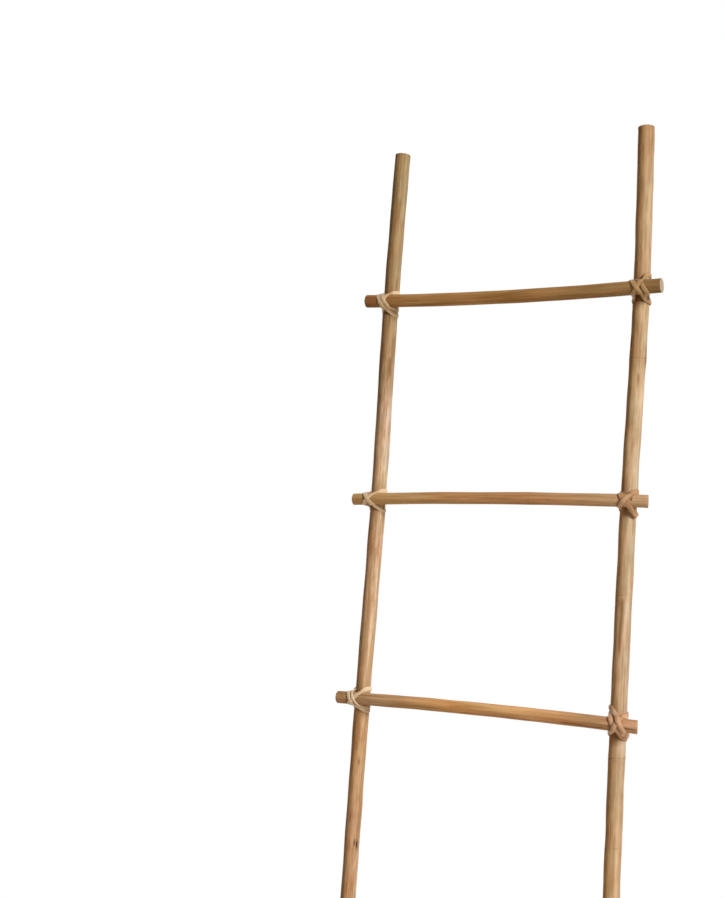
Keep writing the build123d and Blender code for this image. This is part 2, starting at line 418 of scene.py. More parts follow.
def sawnEnd(rim, grain, outward, outer, first, draws):
    # rings from the rim in to a middle point; outer and first number the rim's points and the new ones
    sides = len(rim)
    middle = rim.mean(0)
    points, grains, faces = [], [], []
    for part in canePlan["capRings"]:
        rough = draws.normal(0, canePlan["sawRough"], (sides, 1))
        points.append(middle + (rim - middle) * part - abs(rough) * outward)
        grains.append(grain * np.array([part, part, 1]))
        faces += bandFaces(outer, first, sides)
        outer = first
        first += sides
    points.append(middle[None])
    grains.append(np.array([[0, 0, grain[:, 2].mean()]]))
    faces += [(outer + i, outer + (i + 1) % sides, first) for i in range(sides)]
    return points, grains, faces


def buildCane(node, line, looks, finish):
    sides, rubbed = canePlan["sides"], canePlan["rubbed"]
    turn = np.linspace(0, 2 * math.pi, sides, endpoint=False)[None, :]
    slant = math.tan(math.radians(looks["endSlant"]))
    ends = line.end - line.radius(line.end) * slant * (1 - np.cos(turn))
    if looks["levelFoot"]:
        ends = levelEnds(line, turn, ends)
    length = line.end - line.start
    share = (stationsOf(length, looks) / length)[:, None]
    s = line.start + (ends - line.start) * share
    turn = np.broadcast_to(turn, s.shape)
    below, radius = s - line.start, line.radius(s)
    relief = Relief(below, turn, radius, looks)
    toEnd = np.minimum(below, ends - s)
    quiet = fadeIn(toEnd / canePlan["plainEnd"])
    rim = np.clip(1 - toEnd / rubbed, 0, 1)
    drop = rubbed * (1 - np.sqrt(1 - rim * rim))
    full = radius + relief.height * quiet - canePlan["sunk"] - drop
    point, along, first, second = line.frameAt(s)
    skin = point + full[..., None] * spokes(turn, first, second)
    grain = np.stack([radius * np.cos(turn), radius * np.sin(turn), below], -1)

    rows = len(share)
    points, grains = [skin.reshape(-1, 3)], [grain.reshape(-1, 3)]
    faces = tubeFaces(rows, sides)
    for row, way in ((0, -1), (rows - 1, 1)):
        count = sum(len(part) for part in points)
        more = sawnEnd(skin[row], grain[row], along[row] * way, row * sides, count, relief.draws)
        points += more[0]
        grains += more[1]
        faces += [face[::way] for face in more[2]]  # turned over at the start
    points = np.concatenate(points)
    caps = len(points) - rows * sides
    masks = {
        "grain": np.concatenate(grains),
        "share": np.concatenate([np.repeat(share, sides, 1).ravel(), np.repeat([0.0, 1.0], caps // 2)]),
        "scar": np.concatenate([(relief.scar * quiet).ravel(), np.zeros(caps)]),
        "stain": np.concatenate([relief.stain.ravel(), np.zeros(caps)]),
        "cut": np.concatenate([rim.ravel() ** 2, np.ones(caps)]),
    }
    piece = addMesh(node + "_cane", points, faces, masks, finish)
    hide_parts(node)
    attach(piece, "root")
    return piece


# noise in the skin: scale round the cane, scale along it, added to the seed, detail
poleNoise = {
    "hair": (3200, 26, 0, 2),
    "fibre": (1100, 15, 3, 3),
    "streak": (290, 11, 7, 2),
    "smear": (130, 30, 29, 3),
    "drift": (45, 6, 11, 2),
    "fleck": (1700, 190, 17, 1),
    "vein": (700, 16, 31, 1),
    "hue": (70, 19, 23, 2),
}
rungNoise = poleNoise | {"smear": (130, 12, 29, 3), "hue": (70, 7, 23, 2)}

skinPlan = {
    "swings": {"streak": 2.1, "smear": 1.9, "drift": 0.8, "fibre": 1.1, "hair": 0.5},  # from dark to pale
    "warm": (1.045, 0.965, 0.89),
    "cool": (0.96, 1.015, 0.98),
    "hueRange": (0.32, 0.68),
    "usualRadius": 12.4 * mm,  # for the painted side light
    "brown": (0.62, 0.50, 0.40),
    "brownEven": 0.45,  # the rest of the brown from stains and painted shadows follows the fibres
    "bleached": (1.12, 1.16, 1.22),
    "bleachedEven": 0.4,
    "fleckRange": (0.66, 0.78),
    "fleckShare": 0.45,
    "reddish": (0.80, 0.58, 0.45),
    "veinRange": (0.60, 0.72),
    "veinSmear": (0.45, 0.65),  # veins only in the pale smears
    "veinShare": 0.6,
    "scarEven": 0.55,
    "scarFibre": 0.6,
    "poreScale": 1250,
    "poreRange": (0.16, 0.38),
    "poreShare": 0.75,
    "poreTone": "5d4227",
    "gloss": 0.05,
    "rough": {"plain": 0.50, "fibre": 0.16, "scar": 0.25, "cut": 0.28},
    "bump": {"fibre": 0.6, "hair": 0.35, "streak": 0.5, "fleck": 0.5, "pore": 2.0},
    "bumpStrength": 0.5,
    "bumpDepth": 0.35 * mm,
}


def caneFinish(name, looks):
    material = bpy.data.materials.new(name)
    g = Graph(material)
    grain = g.attribute("grain", "Vector")
    share, scar, stain, cut = (g.attribute(mask) for mask in ("share", "scar", "stain", "cut"))

    def layer(kind):
        across, along, offset, detail = looks["noise"][kind]
        return g.noise(grain, (across, across, along), looks["seed"] + offset, detail)

    hair, fibre, streak, smear = (layer(kind) for kind in ("hair", "fibre", "streak", "smear"))
    drift, fleck, vein, hue = (layer(kind) for kind in ("drift", "fleck", "vein", "hue"))
    flecked = fleck.between(*skinPlan["fleckRange"])
    veined = vein.between(*skinPlan["veinRange"]) * smear.between(*skinPlan["veinSmear"])

    tint = g.node("ValToRGB", {"stops": looks["tints"]}, {"Fac": share}, "Color")
    swings = skinPlan["swings"]
    patchy = streak.swing(swings["streak"]) + smear.swing(swings["smear"]) + drift.swing(swings["drift"])
    lively = 1 + share.between(*looks["livelyFrom"]) * looks["lively"]
    blend = 0.5 + (patchy + fibre.swing(swings["fibre"])) * lively + hair.swing(swings["hair"])
    skin = g.mixed(blend, g.product(tint, looks["darkCast"]), g.product(tint, looks["paleCast"]))
    cool, warm = g.product(skin, skinPlan["cool"]), g.product(skin, skinPlan["warm"])
    skin = g.mixed(hue.between(*skinPlan["hueRange"]), cool, warm)
    # painted light by side: shade on the side away from the key light, a paler highlight on its lit side
    for degrees, low, high, cast in looks["sideCasts"]:
        turn, size = math.radians(degrees), skinPlan["usualRadius"]
        facing = (math.cos(turn) / size, math.sin(turn) / size, 0)
        turned = g.node("VectorMath", {"operation": "DOT_PRODUCT"}, {0: grain, 1: facing}, "Value")
        skin = g.mixed(turned.between(low, high), skin, g.product(skin, cast))
    brown, bleached = g.product(skin, skinPlan["brown"]), g.product(skin, skinPlan["bleached"])
    skin = g.mixed(stain.most(0.0) * (skinPlan["brownEven"] + fibre), skin, brown)
    skin = g.mixed((0.0 - stain).most(0.0) * (skinPlan["bleachedEven"] + fibre), skin, bleached)
    skin = g.mixed(flecked * skinPlan["fleckShare"], skin, brown)
    skin = g.mixed(veined * skinPlan["veinShare"], skin, g.product(skin, skinPlan["reddish"]))
    scarred = scar * (skinPlan["scarEven"] + skinPlan["scarFibre"] * fibre)
    skin = g.mixed(scarred, skin, written(looks["scarTone"]))

    # sawn ends: pale straw with dark pores
    poreScale = skinPlan["poreScale"]
    crossPlace = g.product(grain, (poreScale, poreScale, 0))
    pore = g.node("TexVoronoi", {"feature": "F1"}, {"Vector": crossPlace, "Scale": 1.0}, "Distance")
    hole = 1 - pore.between(*skinPlan["poreRange"])
    straw = g.mixed(drift, written(looks["endPale"]), written(looks["endDark"]))
    sawn = g.mixed(hole * skinPlan["poreShare"], straw, written(skinPlan["poreTone"]))

    rough, bump = skinPlan["rough"], skinPlan["bump"]
    height = fibre * bump["fibre"] + hair * bump["hair"] + streak * bump["streak"]
    height = height - flecked * bump["fleck"] - hole * cut * bump["pore"]
    g.surface({
        "Base Color": g.mixed(cut, skin, sawn),
        "Roughness": rough["plain"] + fibre.swing(rough["fibre"]) + scar * rough["scar"] + cut * rough["cut"],
        "Specular IOR Level": skinPlan["gloss"],
        "Normal": g.bumped(height, skinPlan["bumpStrength"], skinPlan["bumpDepth"])})
    return material


plainCane = {
    "darkCast": (0.72, 0.64, 0.53),
    "paleCast": (1.14, 1.16, 1.18),
    "sideCasts": [],  # painted shade and painted highlight by side: angle, from and to as cosines from it, cast
    "lively": 0.0,  # more contrast in the grain, coming in between these shares of the length
    "livelyFrom": (0.12, 0.2),
    "scarTone": "40281a",
    "endPale": "d8bd97",
    "endDark": "b08f63",
    "endSlant": 0,  # degrees off square, cut back behind
    "rings": [],
    "knots": [],
    "streaks": [],
    "cracks": [],
}
plainPole = plainCane | {
    "toward": (0, 0, -1),  # from start to end
    "facing": (1, 0, 0),  # where angles start
    "bends": 12,  # degree of the fitted middle line
    "levelFoot": True,
    "lumpy": 1.0,
    "noise": poleNoise,
}
plainRung = plainCane | {
    "toward": (1, 0, 0),
    "facing": (0, -1, 0),
    "bends": 4,
    "levelFoot": False,
    "lumpy": 0.5,
    "noise": rungNoise,
}

# marks are in mm from the start and degrees: 0 is a pole's right side, 90 its front
# rings: place, strength; knots: place, angle, half length, half width, strength
# streaks: from, to, angle, half width, strength; cracks: from, to, angle, strength
leftPole = {
    "seed": 11,
    "tints": [(0.0, "a98c62"), (0.09, "a98960"), (0.17, "a8865e"), (0.21, "b1916c"), (0.25, "cead8e"),
              (0.3, "d4b38d"), (0.37, "d1a984"), (0.46, "dab68e"), (0.55, "cd9f70"), (0.6, "c89d75"),
              (1.0, "c79f79")],
    # painted shade on the shaded left side, painted highlight on the lit right side
    "sideCasts": [(150, 0.03, 0.75, (0.86, 0.79, 0.71)), (0, 0.62, 0.95, (1.04, 1.12, 1.24))],
    "lively": 0.5,
    "rings": [(58, 0.42), (384, 0.1), (762, 0.12), (1395, 0.6), (1690, 0.5)],
    "knots": [(1022, 54, 5, 1.8, 0.85), (1152, 20, 7, 2.8, 1.8), (1149, 44, 6, 1.5, 1.5),
              (1520, 120, 6, 2, 0.8)],
    "streaks": [(352, 402, 40, 2.6, 1.4), (345, 372, 62, 3, -1.2), (400, 520, 55, 1.6, -1.0),
                (420, 560, 30, 1.6, -0.8), (400, 480, 44, 1.3, 0.8), (758, 800, 50, 5, 0.2),
                (1098, 1140, 40, 6, 0.3), (1280, 1340, 80, 2, 0.6)],
    "cracks": [(1120, 1180, 33, 0.35)],
}
rightPole = {
    "seed": 23,
    "tints": [(0.0, "b08961"), (0.09, "bd9a73"), (0.17, "c7a47c"), (0.195, "b7926a"), (0.22, "c8a67f"),
              (0.28, "caac87"), (0.45, "c4a27f"), (0.52, "c3a37f"), (0.54, "be9972"), (0.6, "cea77d"),
              (1.0, "cba67e")],
    # painted shade on the shaded left side, painted highlight on the lit right side
    "sideCasts": [(160, 0.04, 0.75, (1.04, 0.95, 0.82)), (10, 0.62, 0.95, (0.97, 1.05, 1.16))],
    "rings": [(371, 0.45), (734, 0.3), (972, 0.5), (1100, 0.3), (1420, 0.6), (1735, 0.5)],
    "knots": [(374, 4, 10, 1.9, 1.1), (750, 5, 9, 1.8, 0.9), (345, 136, 10, 2.2, 0.8), (1104, 138, 6, 2, 0.6),
              (1560, 70, 6, 2, 0.8)],
    "streaks": [(392, 427, 62, 2.4, 1.2), (736, 832, 84, 2.6, 1.3), (740, 850, 58, 2.2, -1.0),
                (430, 560, 45, 1.6, -0.7), (940, 972, 60, 9, -0.5), (1500, 1580, 100, 2, 0.6),
                # the last three are painted shadows of rungs 1, 2 and 3 on the pole's front just below each
                # rung
                (258, 300, 97, 9, 1.8), (594, 624, 96, 8, 1.0), (924, 966, 101, 8, 1.6)],
}

# rungs run from left to right; angle 0 is the front, 90 the underside, -90 the top
rungLooks = [
    {
        "seed": 31,
        "tints": [(0.0, "996d42"), (0.12, "b98956"), (0.5, "ac7d4a"), (0.85, "a27e51"), (1.0, "906f47")],
        "endPale": "cdb6a0",
        "endDark": "a98c72",
        "rings": [(222, 0.15)],
        "streaks": [(40, 480, 8, 4, 0.2), (20, 480, 28, 3, -0.3)],
    },
    {
        "seed": 47,
        "tints": [(0.0, "caa26e"), (0.3, "d4a571"), (0.6, "c28f60"), (1.0, "d6ad83")],
        "endPale": "a98a63",
        "endDark": "7d6040",
        "endSlant": 13,
        "rings": [(309, 0.3)],
        # the dark pit at 472 mm is painted shade of the gap between two strips, over a small dent
        "knots": [(340, 5, 7, 1.2, 0.4), (472, -16, 1.9, 2.3, 1.4)],
        "streaks": [(280, 430, -5, 1.2, 0.4), (20, 480, -27, 2.6, 0.25), (20, 480, -2, 2.6, -0.35)],
    },
    {
        "seed": 59,
        "tints": [(0.0, "bc8c61"), (0.15, "d1a67b"), (0.4, "e1ab6e"), (0.75, "e8ad76"), (0.85, "c79b70"),
                  (1.0, "dcad86")],
        "endPale": "a5845c",
        "endDark": "6f5335",
        "endSlant": 15,
        "rings": [(205, 0.12)],
        "streaks": [(380, 470, 30, 1.6, 0.7), (10, 515, 46, 6, 0.45), (60, 515, -36, 5, -0.6),
                    (20, 500, -3, 3.2, 0.4)],
        "cracks": [(476, 512, 14, 0.9), (400, 450, 38, 0.4)],
    },
    {
        "seed": 67,
        "tints": [(0.0, "bb8e5c"), (0.6, "c3965f"), (1.0, "bd9160")],
        "rings": [(130, 0.5), (402, 0.4)],
        "knots": [(250, -20, 6, 1.6, 0.6)],
        "streaks": [(150, 240, 15, 1.6, 0.5)],
    },
    {
        "seed": 79,
        "tints": [(0.0, "c4986a"), (0.5, "bd9060"), (1.0, "c09468")],
        "rings": [(262, 0.5)],
        "streaks": [(300, 420, 0, 1.8, 0.5)],
        "cracks": [(0, 22, 20, 0.7)],
    },
]

poleLines, rungLines = {}, []
for side, looks in (("left", leftPole), ("right", rightPole)):
    looks = plainPole | looks
    node = side + "_pole"
    poleLines[side] = CaneLine(node, looks)
    buildCane(node, poleLines[side], looks, caneFinish(node + "_skin", looks))
for number, looks in enumerate(rungLooks, 1):
    looks = plainRung | looks
    node = f"rung_{number}"
    rungLines.append(CaneLine(node, looks))
    buildCane(node, rungLines[-1], looks, caneFinish(node + "_skin", looks))
print("canes built")


# bindings of split cane

bindingPlan = {
    "firstSeed": 101,
    "step": 1.4 * mm,
    "lift": 0.05 * mm,  # strip above the cane
    "meetRounds": 30,  # of finding where a rung meets a pole
    "edgeTurn": 62,  # where a pass leaves the rung's face, in degrees from its front line
    "sideHug": {-1: 24, 1: 4},  # where a pass lies on the pole, in degrees in front of its left or right side
    "frontHug": {-1: 52, 1: 42},
    "frontDrop": 1.2 * mm,  # nearer the rung there
    "tail": 9 * mm,
    "tailSteps": [(0.5, 0.87, 0.25), (-0.25, 1.0, 0.5)],  # shares of the way across, back and up
    "settle": 260,  # rounds of drawing tight
    "pull": 0.5,
    "restack": 20,  # rounds between looks at what lies over what
    "layers": 3,
    "turnLength": 3,  # widths along the strip after which it can cross itself
    "overlap": 1.08,  # widths between middle lines where a strip starts to climb
    "stacked": 1.2,  # thicknesses between them where it is right on top
    "climbReach": 3,  # points each way that a climb is smoothed over
    "lineReach": 2,  # the same for the strip's line
    "facingReach": 8,  # and for the way that it faces
    "facingEase": 1.2 * mm,  # how soon the strip turns to the nearer cane
    "profile": 9,  # points across the outer skin
    "crown": 0.62,  # lower is squarer
    "inside": 5,  # points across the flat inside
    "insideHalf": 0.86,
    "swells": [(0.05, 17 * mm), (0.03, 5.3 * mm)],  # of the width: share, length
    "thickening": (0.06, 9 * mm),
    "rimCut": 0.6,  # share of the cut tone at the rim of a cut end
}


class Joint:
    # a rung on a pole, with the pole's axis as z, the rung's direction as x and the back as y
    def __init__(self, pole, rung):
        s, t = (pole.start + pole.end) / 2, (rung.start + rung.end) / 2
        for again in range(bindingPlan["meetRounds"]):  # nearest points of the two middle lines
            polePoint, down = pole.frameAt(s)[:2]
            rungPoint, along = rung.frameAt(t)[:2]
            s += (rungPoint - polePoint) @ down
            t += (polePoint - rungPoint) @ along
        self.centre = polePoint
        self.up = -down
        self.back = np.cross(self.up, along)
        self.back /= np.linalg.norm(self.back)
        self.along = np.cross(self.back, self.up)
        self.stand = (polePoint - rungPoint) @ self.back
        self.poleRadius, self.rungRadius = float(pole.radius(s)), float(rung.radius(t))

    def toFrame(self, points):
        return self.centre + points @ np.array([self.along, self.back, self.up])

    def outward(self, points):
        # distance from each cane's surface, and the way straight out of it
        fromPole = points * np.array([1, 1, 0])
        fromRung = points * np.array([0, 1, 1]) + np.array([0, self.stand, 0])
        for vector, radius in ((fromPole, self.poleRadius), (fromRung, self.rungRadius)):
            size = np.linalg.norm(vector, axis=1)
            yield size - radius, vector / size[:, None]


def onPole(wrap, side, height):
    # two points on the pole, at its side and nearer its front
    low = height - math.copysign(bindingPlan["frontDrop"], height)
    for degrees, z in ((bindingPlan["sideHug"][side], height), (bindingPlan["frontHug"][side], low)):
        turn = math.radians(degrees)
        yield side * wrap * math.cos(turn), -wrap * math.sin(turn), z


def frontPass(joint, clear, hand, rise, drop, shift, slope, downward):
    # from the pole's side across the rung's face to the other side; hand 1 has its upper end on the right
    wrap, reach = joint.poleRadius + clear, joint.rungRadius + clear
    drift = hand / math.tan(math.radians(slope))
    route = [*onPole(wrap, hand, rise)]
    for angle in (bindingPlan["edgeTurn"], 0, -bindingPlan["edgeTurn"]):
        turn = math.radians(angle)
        across = shift + drift * reach * turn
        route.append((across, -joint.stand - reach * math.cos(turn), reach * math.sin(turn)))
    route += [*onPole(wrap, -hand, -drop)][::-1]
    return route if downward else route[::-1]


def tailFrom(point, wrap, length):
    # steps from a pass's end on round the back of the pole, up or for a length below zero down
    return [(across * point[0], back * wrap, point[2] + rise * length)
            for across, back, rise in bindingPlan["tailSteps"]]


def windingOf(joint, looks):
    # anchors of one strip, from its first cut end to its last
    clear = looks["thick"] * mm / 2 + bindingPlan["lift"]
    wrap = joint.poleRadius + clear
    route = []
    side = looks["passes"][0][0] * (-1 if looks["loose"] else 1)  # where every front pass starts
    for hand, rise, drop, shift, slope in looks["passes"]:
        leg = frontPass(joint, clear, hand, rise * mm, drop * mm, shift * mm, slope, hand == side)
        if route:
            route.append((0, wrap, (route[-1][2] + leg[0][2]) / 2))
        route += leg
    tail = bindingPlan["tail"]
    last = tailFrom(route[-1], wrap, tail)
    if looks["loose"]:  # a free end in place of the tail and the points on the pole
        first = [np.array(looks["loose"]) * mm]
        route = route[2:]
    else:
        first = tailFrom(route[0], wrap, -tail)[::-1]
    return np.array([*first, *route, *last], float)


def smoothed(values, reach):
    window = np.ones(2 * reach + 1) / (2 * reach + 1)
    padded = np.pad(values, ((reach, reach), (0, 0)), mode="edge")
    return np.stack([np.convolve(column, window, "valid") for column in padded.T], 1)


def unit(vectors):
    return vectors / np.linalg.norm(vectors, axis=1, keepdims=True)


def drawTight(anchors, joint, looks):
    # a dense line through the anchors, smoothed while it is kept off the canes and off its earlier turns
    thick, wide = looks["thick"] * mm, looks["wide"] * mm
    points, held = [], []
    for start, end in zip(anchors, anchors[1:]):
        count = max(2, int(np.linalg.norm(end - start) / bindingPlan["step"]))
        held.append(len(points))
        points += [start + (end - start) * i / count for i in range(count)]
    held.append(len(points))
    points = np.array(points + [anchors[-1]])
    rise = np.zeros(len(points))
    order = np.arange(len(points))
    apartAlong = (order[:, None] - order[None, :]) * bindingPlan["step"]
    earlier = apartAlong > bindingPlan["turnLength"] * wide
    far, near = bindingPlan["overlap"] * wide, bindingPlan["stacked"] * thick
    for again in range(bindingPlan["settle"]):
        points[1:-1] += bindingPlan["pull"] * ((points[:-2] + points[2:]) / 2 - points[1:-1])
        points[held] = anchors
        if again % bindingPlan["restack"] == bindingPlan["restack"] // 2:
            apart = np.linalg.norm(points[:, None] - points[None], axis=2)
            over = fadeIn((far - apart) / (far - near)) * earlier
            for layer in range(bindingPlan["layers"]):
                rise = (over * (thick + rise[None, :])).max(1)
            rise = smoothed(rise[:, None], bindingPlan["climbReach"])[:, 0]
        for gap, way in joint.outward(points):
            need = (thick / 2 + bindingPlan["lift"] + rise - gap).clip(0)
            points += way * need[:, None]
    return points


def stripSection():
    # half round, in half widths and thicknesses: crowned skin outside, flat inside
    lean = np.linspace(0, math.pi, bindingPlan["profile"])
    skinSide = np.stack([np.cos(lean), -0.5 + np.sin(lean) ** bindingPlan["crown"]], 1)
    half, count = bindingPlan["insideHalf"], bindingPlan["inside"]
    inside = np.stack([np.linspace(-half, half, count), np.full(count, -0.5)], 1)
    return np.concatenate([skinSide, inside])


def buildStrip(node, joint, looks, finish):
    thick, wide = looks["thick"] * mm, looks["wide"] * mm
    points = smoothed(drawTight(windingOf(joint, looks), joint, looks), bindingPlan["lineReach"])
    along = unit(np.gradient(points, axis=0))
    facing = np.zeros_like(points)
    for gap, way in joint.outward(points):
        facing += way / ((gap - thick / 2).clip(0) + bindingPlan["facingEase"])[:, None] ** 2
    facing = smoothed(unit(facing), bindingPlan["facingReach"])
    facing = unit(facing - along * (facing * along).sum(1)[:, None])
    across = np.cross(along, facing)

    section = stripSection()
    rows, sides = len(points), len(section)
    travel = np.concatenate([[0], np.cumsum(np.linalg.norm(np.diff(points, axis=0), axis=1))])
    phase = np.random.default_rng(looks["seed"]).uniform(0, 2 * math.pi, 3)
    swell = 1 + sum(size * np.sin(travel / length + phase[i])
                    for i, (size, length) in enumerate(bindingPlan["swells"]))
    swell *= np.interp(travel / travel[-1], [0, 1], looks["taper"])
    size, length = bindingPlan["thickening"]
    a = section[None, :, 0] * swell[:, None] * wide / 2
    b = section[None, :, 1] * thick * (1 + size * np.sin(travel / length + phase[2]))[:, None]
    skin = points[:, None] + across[:, None] * a[..., None] + facing[:, None] * b[..., None]
    middles = np.array([skin[0].mean(0), skin[-1].mean(0)])
    faces = tubeFaces(rows, sides)
    tips = rows * sides
    for i in range(sides):
        j = (i + 1) % sides
        faces.append((j, i, tips))
        faces.append((tips - sides + i, tips - sides + j, tips + 1))
    grain = np.stack([a, b, np.repeat(travel[:, None], sides, 1)], -1).reshape(-1, 3)
    ends = np.zeros((rows, sides))
    ends[0] = ends[-1] = bindingPlan["rimCut"]
    masks = {
        "grain": np.concatenate([grain, [[0, 0, 0], [0, 0, travel[-1]]]]),
        "edge": np.concatenate([np.abs(np.repeat(section[None, :, 0], rows, 0)).ravel(), [0, 0]]),
        "cut": np.concatenate([ends.ravel(), [1, 1]]),
    }
    world = joint.toFrame(np.concatenate([skin.reshape(-1, 3), middles]))
    piece = addMesh(node + "_strip", world, faces, masks, finish)
    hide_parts(node)
    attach(piece, "root")


stripPlan = {
    "line": ((1500, 500, 12), 0, 3),  # noise scales, added to the seed, detail
    "hair": ((5200, 1500, 40), 2, 2),
    "drift": ((60, 60, 26), 5, 2),
    "driftRange": (0.3, 0.7),
    "lineSwing": 2.2,
    "hairSwing": 0.8,
    "lineCast": (0.80, 0.74, 0.66),
    # painted shade along the strip's edges, where it meets the canes and the other strips
    "edgeRange": (0.62, 1.0),  # half widths
    "edgeShadeCast": (0.62, 0.47, 0.33),
    "cutTone": "6a4c2d",
    "gloss": 0.25,
    "rough": {"plain": 0.42, "line": 0.2, "cut": 0.3},
    "bump": {"line": 0.7, "hair": 0.3},
    "bumpStrength": 0.45,
    "bumpDepth": 0.3 * mm,
}


def stripFinish(name, seed, paleTone, darkTone, edgeShadeShare):
    material = bpy.data.materials.new(name)
    g = Graph(material)
    grain = g.attribute("grain", "Vector")
    edge, cut = g.attribute("edge"), g.attribute("cut")
    layers = (stripPlan[kind] for kind in ("line", "hair", "drift"))
    line, hair, drift = (g.noise(grain, stretch, seed + offset, detail) for stretch, offset, detail in layers)
    base = g.mixed(drift.between(*stripPlan["driftRange"]), written(darkTone), written(paleTone))
    paleness = line.swing(stripPlan["lineSwing"]) + hair.swing(stripPlan["hairSwing"]) + 0.5
    lined = g.mixed(paleness, g.product(base, stripPlan["lineCast"]), base)
    # painted shade at the edges of the strip
    atEdge = edge.between(*stripPlan["edgeRange"]) * edgeShadeShare
    shadedEdges = g.mixed(atEdge, lined, g.product(lined, stripPlan["edgeShadeCast"]))
    rough, bump = stripPlan["rough"], stripPlan["bump"]
    height = line * bump["line"] + hair * bump["hair"]
    g.surface({
        "Base Color": g.mixed(cut, shadedEdges, written(stripPlan["cutTone"])),
        "Roughness": rough["plain"] + line.swing(rough["line"]) + cut * rough["cut"],
        "Specular IOR Level": stripPlan["gloss"],
        "Normal": g.bumped(height, stripPlan["bumpStrength"], stripPlan["bumpDepth"])})
    return material


plainBinding = {
    "loose": None,  # where a free end stands out, in the joint's own directions
    "taper": (1, 1),  # share of the width at the first end and the last
}

# sizes are in mm; tones: pale, dark, how much painted shade darkens the edges
# passes: hand, height on the pole's upper side, depth on its lower side, place along the rung, slope
bindings = {
    "lashing_1_left": {
        "wide": 7.8, "thick": 1.5, "tones": ("ecd0a4", "d8b587", 0.5),
        "passes": [(1, 18.5, 12.5, 3, 66), (-1, 14, 20, -4.5, 68), (-1, 16, 12.8, 2.6, 65)]},
    "lashing_1_right": {
        "wide": 7.6, "thick": 1.7, "tones": ("cba672", "ad8654", 0.9),
        "passes": [(-1, 16, 14, 11.5, 63), (1, 25, 16, 4, 59), (-1, 14, 18, 0.2, 58)]},
    "lashing_2_left": {
        "wide": 7.2, "thick": 1.6, "tones": ("f6dcb2", "e3c093", 0.5),
        "passes": [(1, 16.5, 12.5, -4, 51), (-1, 13.5, 17, -4.5, 57)]},
    "lashing_2_right": {
        "wide": 9.2, "thick": 2.1, "tones": ("d8ac7e", "ba885a", 0.95), "loose": (17, -8, -22),
        "passes": [(-1, 12.5, 17, 2, 58), (1, 16, 10.5, 3, 53)]},
    "lashing_3_left": {
        "wide": 6.0, "thick": 1.6, "tones": ("fbe4bd", "ebcb9f", 0.5), "taper": (1.35, 0.68),
        "passes": [(1, 17, 13, -0.8, 52), (-1, 13, 19.5, -7.5, 67), (-1, 14, 15.5, -0.3, 64)]},
    "lashing_3_right": {
        "wide": 8.8, "thick": 2.6, "tones": ("ecc298", "c69468", 0.95),
        "passes": [(-1, 15, 20, 2, 63), (1, 12.5, 13.5, 6.5, 62), (-1, 24, 16, 12.5, 66)]},
    "lashing_4_left": {
        "wide": 6.8, "thick": 1.6, "tones": ("f0d6aa", "dcba8b", 0.5),
        "passes": [(1, 18, 12.5, -1.5, 70), (-1, 14, 20, -5.5, 68), (-1, 17, 13, 1.5, 66)]},
    "lashing_4_right": {
        "wide": 7.8, "thick": 1.9, "tones": ("dcb188", "c4955f", 0.8),
        "passes": [(1, 17, 13, 3, 60), (-1, 17, 17, 2.5, 58)]},
    "lashing_5_left": {
        "wide": 6.8, "thick": 1.6, "tones": ("ecd0a4", "d8b587", 0.5),
        "passes": [(1, 17, 13, -3, 70), (-1, 16, 17, -4, 58)]},
    "lashing_5_right": {
        "wide": 8.0, "thick": 2.0, "tones": ("dfb68a", "c6956a", 0.8),
        "passes": [(1, 18, 13.5, 3, 64), (-1, 17, 20, -3, 62), (-1, 15, 13.5, 6.5, 62)]},
}
for seed, (node, looks) in enumerate(bindings.items(), bindingPlan["firstSeed"]):
    number, side = node.split("_")[1:]
    joint = Joint(poleLines[side], rungLines[int(number) - 1])
    finish = stripFinish(node + "_skin", seed, *looks["tones"])
    buildStrip(node, joint, plainBinding | looks | {"seed": seed}, finish)
print("bindings wound")


# nails

nailLooks = {
    "seed": 3.0,
    "steel": "9a9a98",
    "rust": "6f5646",
    "dull": ((900, 900, 900), 0, 3),  # noise scales, added to the seed, detail
    "drawn": ((2600, 160, 2600), 4, 2),
    "rustRange": (0.55, 0.75),
    "rustCover": 0.6,  # how much less of a metal the rust is
    "rough": 0.32,
    "drawnRough": 0.2,
    "bumpStrength": 0.3,
    "bumpDepth": 0.1 * mm,
}


def nailFinish(looks):
    material = bpy.data.materials.new("nail_steel")
    g = Graph(material)
    place = g.node("TexCoord", {}, {}, "Object")
    dull, drawn = (g.noise(place, stretch, looks["seed"] + offset, detail)
                   for stretch, offset, detail in (looks["dull"], looks["drawn"]))
    rusty = dull.between(*looks["rustRange"])
    g.surface({
        "Base Color": g.mixed(rusty, written(looks["steel"]), written(looks["rust"])),
        "Metallic": 1 - rusty * looks["rustCover"],
        "Roughness": looks["rough"] + drawn * looks["drawnRough"],
        "Normal": g.bumped(drawn, looks["bumpStrength"], looks["bumpDepth"])})
    return material


nailSteel = nailFinish(nailLooks)
for number in range(1, len(rungLooks) + 1):
    nail = frame["nodes"][f"rung_{number}_nails"]
    nail.data.materials.clear()
    nail.data.materials.append(nailSteel)
print("nails finished")


# floor, light and camera

white = (1, 1, 1, 1)

floorPlan = {
    "size": 9.0,
    "tone": "e6e3dd",
    "glow": 0.45,  # share of the floor that the camera sees as plain white
    "clearFrom": 0.4,  # metres from the middle where the floor starts to fade to white
    "clearTo": 1.8,
}


def seenDirectly(g):
    # 1 for rays from the camera, and for reflections and glass
    camera, glossy, through = (g.node("LightPath", {}, {}, f"Is {kind} Ray")
                               for kind in ("Camera", "Glossy", "Transmission"))
    return camera.most(glossy).most(through)


